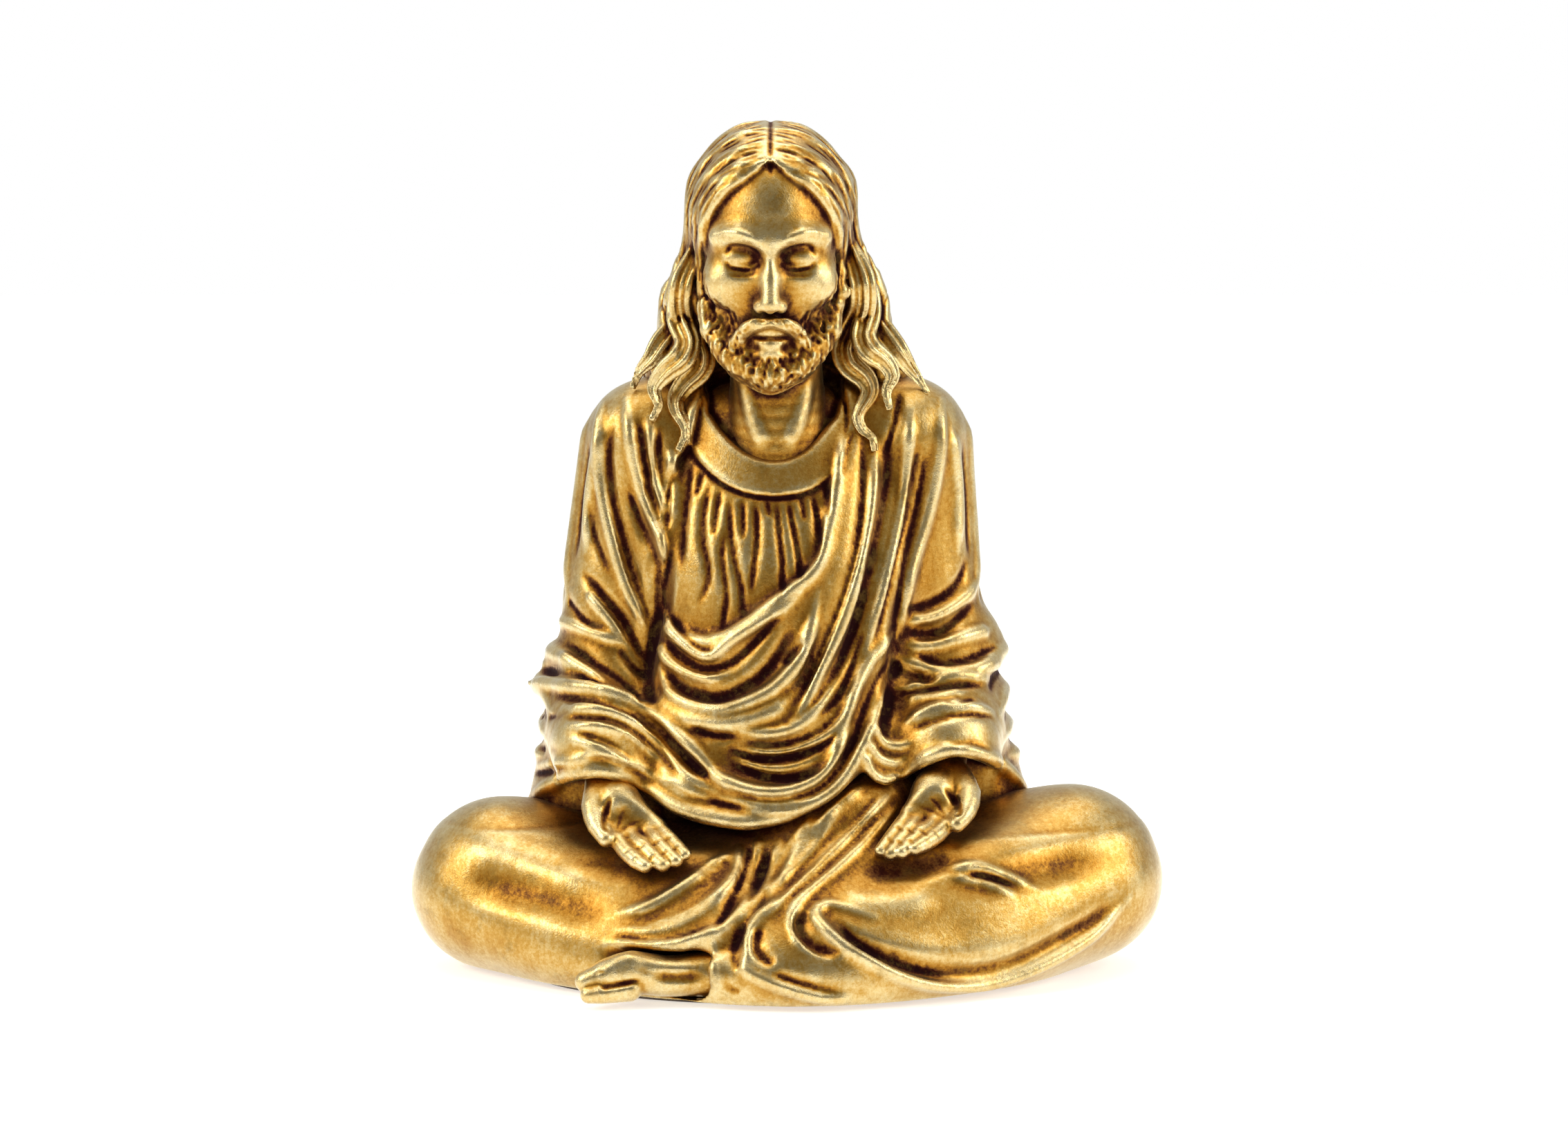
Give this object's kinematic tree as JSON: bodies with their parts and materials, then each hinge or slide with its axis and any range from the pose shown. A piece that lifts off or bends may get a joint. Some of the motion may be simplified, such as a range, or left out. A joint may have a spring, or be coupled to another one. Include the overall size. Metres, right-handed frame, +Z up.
{
  "type": "seated meditating figure statuette",
  "caption": "Gilded seated figure in draped robes, long hair and beard, cross-legged with open hands resting palm up on the thighs.",
  "frame": {"origin": "middle of the felt pad's underside on the table plane, below the spine line", "axes": "+Z up, the figure faces -Y, its right hand is towards -X"},
  "size_m": [0.1736, 0.1022, 0.2],
  "materials": {
    "gilded_resin": "satin",
    "steel_pin": "satin",
    "plate_resin": "matte",
    "plug_rubber": "matte",
    "felt": "matte"
  },
  "bodies": {
    "figure": {"seat_casting": "gilded_resin", "torso_casting": "gilded_resin", "head_casting": "gilded_resin", "right_hand": "gilded_resin", "left_hand": "gilded_resin", "right_foot": "gilded_resin", "waist_dowels": "steel_pin", "neck_dowel": "steel_pin", "wrist_pins": "steel_pin", "foot_pin": "steel_pin", "base_plate": "plate_resin", "vent_plug": "plug_rubber", "felt_pad": "felt"}
  },
  "joints": []
}
